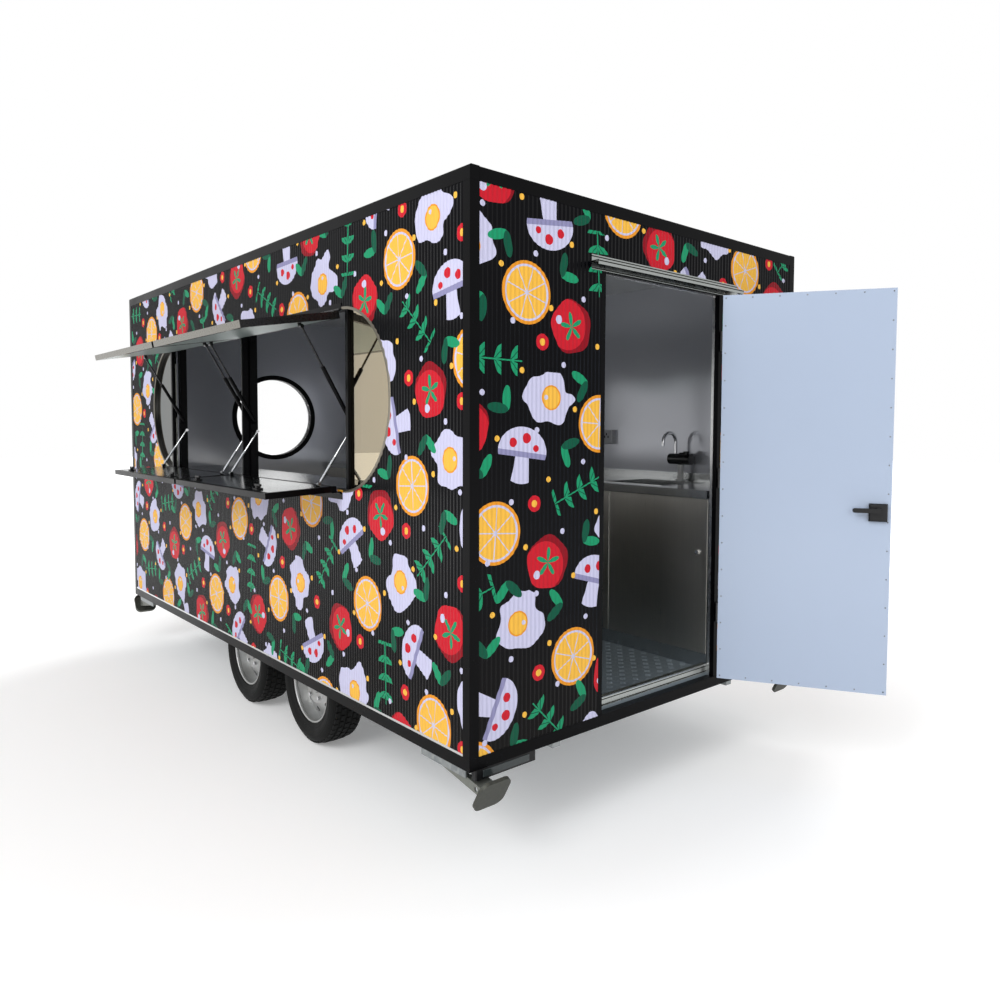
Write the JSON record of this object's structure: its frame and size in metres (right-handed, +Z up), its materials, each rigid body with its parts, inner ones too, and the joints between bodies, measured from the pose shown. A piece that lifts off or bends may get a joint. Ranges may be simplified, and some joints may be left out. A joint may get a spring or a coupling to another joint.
{
  "type": "catering trailer",
  "caption": "Box-shaped catering trailer on tandem wheels with a long rounded serving window, propped flaps and shelves, a rear door and a round front window.",
  "frame": {"origin": "middle of the whole footprint, on the ground", "axes": "+X forward to the tow coupling, +Y to the serving side, +Z up"},
  "size_m": [5.8236, 2.4178, 2.415],
  "materials": {
    "black_frame": "gloss black paint",
    "printed_panel": "fluted sheet with a printed film",
    "roof_panel": "painted sheet",
    "galvanised": "galvanised steel",
    "chequer_plate": "chequered aluminium plate",
    "wheel_box": "painted sheet",
    "rim_silver": "silver paint",
    "tyre": "matt rubber",
    "glazing": "clear",
    "door_panel": "white coated sheet inside, printed film outside",
    "black_plastic": "moulded",
    "stainless": "brushed stainless steel",
    "chrome": "bright",
    "grey_plastic": "moulded",
    "jockey_rubber": "solid rubber",
    "bright_trim": "bright aluminium"
  },
  "bodies": {
    "trailer": {"axles": "galvanised", "cabin_frame": "black_frame", "chassis_frame": "galvanised", "coupling": "galvanised", "door_frame": "black_frame", "door_trims": "bright_trim", "drawbar": "galvanised", "floor": "chequer_plate", "glazing": "glazing", "hinge_leaves": "black_frame", "jockey_tube": "galvanised", "lamp_bars": "black_plastic", "porthole_ring": "black_frame", "roof": "roof_panel", "serving_counter": "stainless", "sink_bowl": "stainless", "sink_counter": "stainless", "steady_bases": "galvanised", "tap": "chrome", "wall_front": "printed_panel", "wall_kitchen": "printed_panel", "wall_rear": "printed_panel", "wall_serving": "printed_panel", "wall_socket": "grey_plastic", "wheel_boxes": "wheel_box", "window_lining": "black_frame", "window_posts": "black_frame"},
    "wheel_rear_left": {"tyre_rear_left": "tyre", "rim_rear_left": "rim_silver"},
    "wheel_rear_right": {"tyre_rear_right": "tyre", "rim_rear_right": "rim_silver"},
    "wheel_front_left": {"tyre_front_left": "tyre", "rim_front_left": "rim_silver"},
    "wheel_front_right": {"tyre_front_right": "tyre", "rim_front_right": "rim_silver"},
    "door": {"door_leaf": "door_panel", "door_lock": "black_plastic"},
    "flap_rear": {"flap_rear": "printed_panel"},
    "flap_rods_rear": {"flap_rods_rear": "chrome"},
    "flap_barrels_rear": {"flap_barrels_rear": "black_frame"},
    "shelf_rear": {"shelf_rear": "printed_panel"},
    "shelf_barrels_rear": {"shelf_barrels_rear": "chrome"},
    "shelf_rods_rear": {"shelf_rods_rear": "chrome"},
    "flap_front": {"flap_front": "printed_panel"},
    "flap_rods_front": {"flap_rods_front": "chrome"},
    "flap_barrels_front": {"flap_barrels_front": "black_frame"},
    "shelf_front": {"shelf_front": "printed_panel"},
    "shelf_barrels_front": {"shelf_barrels_front": "chrome"},
    "shelf_rods_front": {"shelf_rods_front": "chrome"},
    "steady_rear_left": {"steady_rear_left": "galvanised"},
    "steady_rear_right": {"steady_rear_right": "galvanised"},
    "steady_front_left": {"steady_front_left": "galvanised"},
    "steady_front_right": {"steady_front_right": "galvanised"},
    "jockey_stem": {"jockey_stem": "galvanised"},
    "jockey_fork": {"jockey_fork": "galvanised"},
    "jockey_wheel": {"jockey_wheel": "jockey_rubber"}
  },
  "joints": [
    {"name": "wheel_rear_left_spin", "type": "hinge", "parent": "trailer", "child": "wheel_rear_left", "pos_m": [-0.77638, 0.61613, 0.2875], "axis": [0, 1, 0], "continuous": true},
    {"name": "wheel_rear_right_spin", "type": "hinge", "parent": "trailer", "child": "wheel_rear_right", "pos_m": [-0.77638, -1.03387, 0.2875], "axis": [0, 1, 0], "continuous": true},
    {"name": "wheel_front_left_spin", "type": "hinge", "parent": "trailer", "child": "wheel_front_left", "pos_m": [0.00363, 0.61613, 0.2875], "axis": [0, 1, 0], "continuous": true},
    {"name": "wheel_front_right_spin", "type": "hinge", "parent": "trailer", "child": "wheel_front_right", "pos_m": [0.00363, -1.03387, 0.2875], "axis": [0, 1, 0], "continuous": true},
    {"name": "door_hinge", "type": "hinge", "parent": "trailer", "child": "door", "pos_m": [-2.24138, -0.60086, 0.406], "axis": [0, 0, 1], "range_deg": [-118, 47]},
    {"name": "flap_rear_hinge", "type": "hinge", "parent": "trailer", "child": "flap_rear", "pos_m": [-0.78638, 0.79714, 2.027], "axis": [1, 0, 0], "range_deg": [-79.4, 0]},
    {"name": "flap_rods_rear_pivot", "type": "hinge", "parent": "flap_rear", "child": "flap_rods_rear", "pos_m": [-0.78638, 0.95012, 1.9475], "axis": [1, 0, 0], "range_deg": [0, 105.97]},
    {"name": "flap_barrels_rear_slide", "type": "slide", "parent": "flap_rods_rear", "child": "flap_barrels_rear", "axis": [0, -0.4903, -0.8716], "range_m": [-0.14244, 0]},
    {"name": "shelf_rear_hinge", "type": "hinge", "parent": "trailer", "child": "shelf_rear", "pos_m": [-0.78638, 0.79714, 1.263], "axis": [-1, 0, 0], "range_deg": [-93, 0]},
    {"name": "shelf_barrels_rear_pivot", "type": "hinge", "parent": "shelf_rear", "child": "shelf_barrels_rear", "pos_m": [-0.78638, 0.86924, 1.30128], "axis": [1, 0, 0], "range_deg": [-118.53, 0]},
    {"name": "shelf_rods_rear_slide", "type": "slide", "parent": "shelf_barrels_rear", "child": "shelf_rods_rear", "axis": [0, -0.5399, 0.8417], "range_m": [-0.07067, 0]},
    {"name": "flap_front_hinge", "type": "hinge", "parent": "trailer", "child": "flap_front", "pos_m": [0.31362, 0.79714, 2.027], "axis": [1, 0, 0], "range_deg": [-79.4, 0]},
    {"name": "flap_rods_front_pivot", "type": "hinge", "parent": "flap_front", "child": "flap_rods_front", "pos_m": [0.31362, 0.95012, 1.9475], "axis": [1, 0, 0], "range_deg": [0, 105.97]},
    {"name": "flap_barrels_front_slide", "type": "slide", "parent": "flap_rods_front", "child": "flap_barrels_front", "axis": [0, -0.4903, -0.8716], "range_m": [-0.14244, 0]},
    {"name": "shelf_front_hinge", "type": "hinge", "parent": "trailer", "child": "shelf_front", "pos_m": [0.31362, 0.79714, 1.263], "axis": [-1, 0, 0], "range_deg": [-93, 0]},
    {"name": "shelf_barrels_front_pivot", "type": "hinge", "parent": "shelf_front", "child": "shelf_barrels_front", "pos_m": [0.31362, 0.86924, 1.30128], "axis": [1, 0, 0], "range_deg": [-118.53, 0]},
    {"name": "shelf_rods_front_slide", "type": "slide", "parent": "shelf_barrels_front", "child": "shelf_rods_front", "axis": [0, -0.5399, 0.8417], "range_m": [-0.07067, 0]},
    {"name": "steady_rear_left_hinge", "type": "hinge", "parent": "trailer", "child": "steady_rear_left", "pos_m": [-1.93637, 0.72113, 0.33], "axis": [0, -1, 0], "range_deg": [0, 59.76]},
    {"name": "steady_rear_right_hinge", "type": "hinge", "parent": "trailer", "child": "steady_rear_right", "pos_m": [-1.93637, -1.13887, 0.33], "axis": [0, -1, 0], "range_deg": [0, 59.76]},
    {"name": "steady_front_left_hinge", "type": "hinge", "parent": "trailer", "child": "steady_front_left", "pos_m": [1.46362, 0.72113, 0.33], "axis": [0, 1, 0], "range_deg": [0, 59.76]},
    {"name": "steady_front_right_hinge", "type": "hinge", "parent": "trailer", "child": "steady_front_right", "pos_m": [1.46362, -1.13887, 0.33], "axis": [0, 1, 0], "range_deg": [0, 59.76]},
    {"name": "jockey_lift", "type": "slide", "parent": "trailer", "child": "jockey_stem", "axis": [0, 0, 1], "range_m": [0, 0.11]},
    {"name": "jockey_swivel", "type": "hinge", "parent": "jockey_stem", "child": "jockey_fork", "pos_m": [2.32362, -0.20886, 0.21], "axis": [0, 0, 1], "continuous": true},
    {"name": "jockey_wheel_spin", "type": "hinge", "parent": "jockey_fork", "child": "jockey_wheel", "pos_m": [2.28362, -0.20886, 0.1], "axis": [0, 1, 0], "continuous": true}
  ],
  "couplings": [
    {"joint": "flap_rods_rear_pivot", "follows": "flap_rear_hinge", "ratio": -1.334},
    {"joint": "flap_barrels_rear_slide", "follows": "flap_rear_hinge", "m_per_rad": 0.10264},
    {"joint": "shelf_barrels_rear_pivot", "follows": "shelf_rear_hinge", "ratio": 1.274},
    {"joint": "shelf_rods_rear_slide", "follows": "shelf_rear_hinge", "m_per_rad": 0.043415},
    {"joint": "flap_rods_front_pivot", "follows": "flap_front_hinge", "ratio": -1.334},
    {"joint": "flap_barrels_front_slide", "follows": "flap_front_hinge", "m_per_rad": 0.10264},
    {"joint": "shelf_barrels_front_pivot", "follows": "shelf_front_hinge", "ratio": 1.274},
    {"joint": "shelf_rods_front_slide", "follows": "shelf_front_hinge", "m_per_rad": 0.043415}
  ]
}
